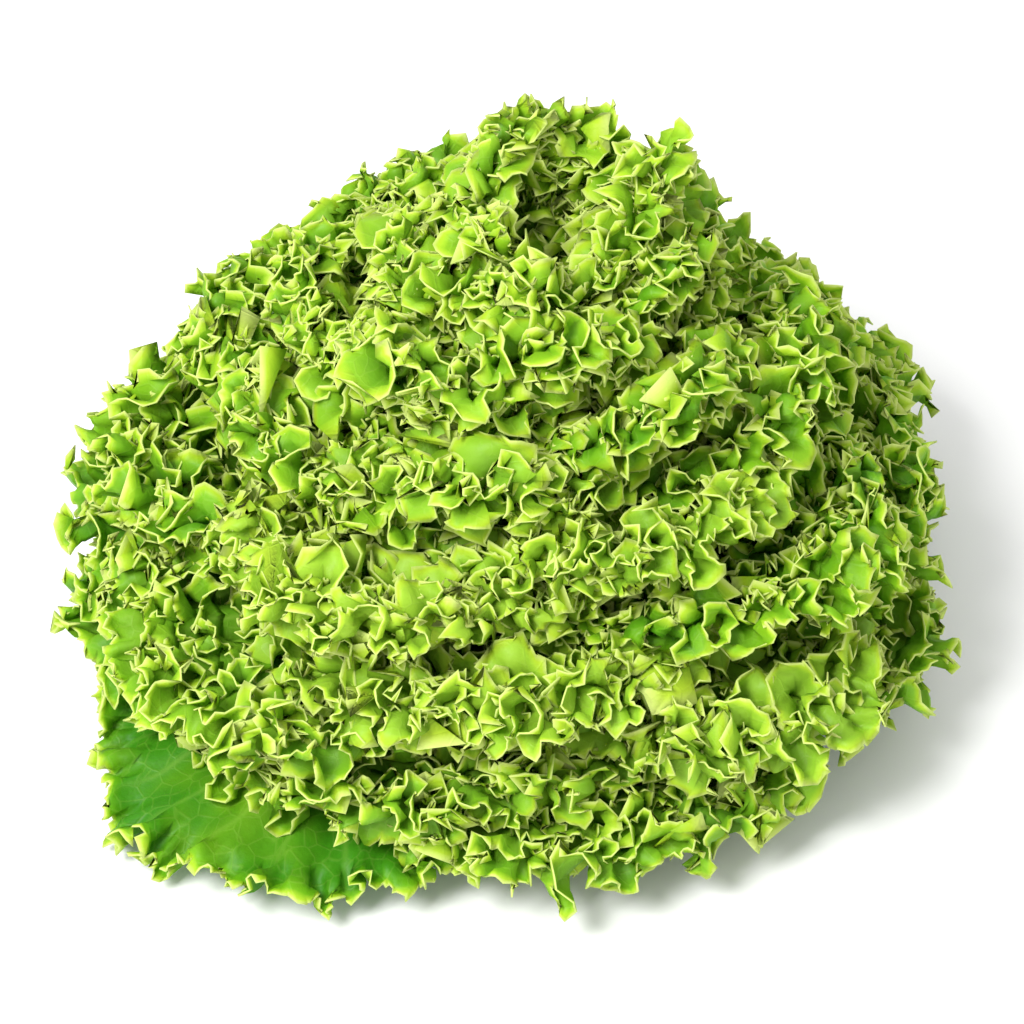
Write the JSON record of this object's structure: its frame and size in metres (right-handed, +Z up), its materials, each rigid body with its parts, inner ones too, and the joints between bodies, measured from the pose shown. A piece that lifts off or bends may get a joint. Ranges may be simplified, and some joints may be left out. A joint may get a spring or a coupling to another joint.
{
  "type": "lettuce head",
  "caption": "Frilly loose-leaf lettuce head: a dome of curled, toothed leaves round a short stem cut level, standing on its butt.",
  "frame": {"origin": "centre of the cut face of the stem, which stands on the surface", "axes": "+Z up along the stem; -Y is the side that the picture shows, with +X to its right"},
  "size_m": [0.2773, 0.2831, 0.1889],
  "materials": {
    "leaf_green": "waxy lettuce leaf, mid green, yellow-green at its frilled margin",
    "heart_green": "young lettuce leaf of the heart, pale yellow-green",
    "cut_stem": "moist cut lettuce stem, pale cream-green"
  },
  "bodies": {
    "root": {"stem": "cut_stem", "leaf_01": "leaf_green", "leaf_02": "leaf_green", "leaf_03": "leaf_green", "leaf_04": "leaf_green", "leaf_05": "leaf_green", "leaf_06": "leaf_green", "leaf_07": "leaf_green", "leaf_08": "leaf_green", "leaf_09": "leaf_green", "leaf_10": "leaf_green", "leaf_11": "leaf_green", "leaf_12": "leaf_green", "leaf_13": "leaf_green", "leaf_14": "leaf_green", "leaf_15": "leaf_green", "leaf_16": "leaf_green", "leaf_17": "leaf_green", "leaf_18": "leaf_green", "leaf_19": "leaf_green", "leaf_20": "leaf_green", "leaf_21": "leaf_green", "leaf_22": "leaf_green", "leaf_23": "leaf_green", "leaf_24": "leaf_green", "leaf_25": "leaf_green", "leaf_26": "leaf_green", "leaf_27": "leaf_green", "leaf_28": "leaf_green", "leaf_29": "leaf_green", "leaf_30": "leaf_green", "leaf_31": "leaf_green", "leaf_32": "leaf_green", "leaf_33": "leaf_green", "leaf_34": "leaf_green", "leaf_35": "leaf_green", "leaf_36": "leaf_green", "leaf_37": "leaf_green", "leaf_38": "leaf_green", "leaf_39": "heart_green", "leaf_40": "heart_green", "leaf_41": "heart_green", "leaf_42": "heart_green", "leaf_43": "heart_green", "leaf_44": "heart_green", "leaf_45": "heart_green", "leaf_46": "heart_green", "leaf_47": "heart_green", "leaf_48": "heart_green", "leaf_49": "heart_green", "leaf_50": "heart_green"}
  },
  "joints": []
}
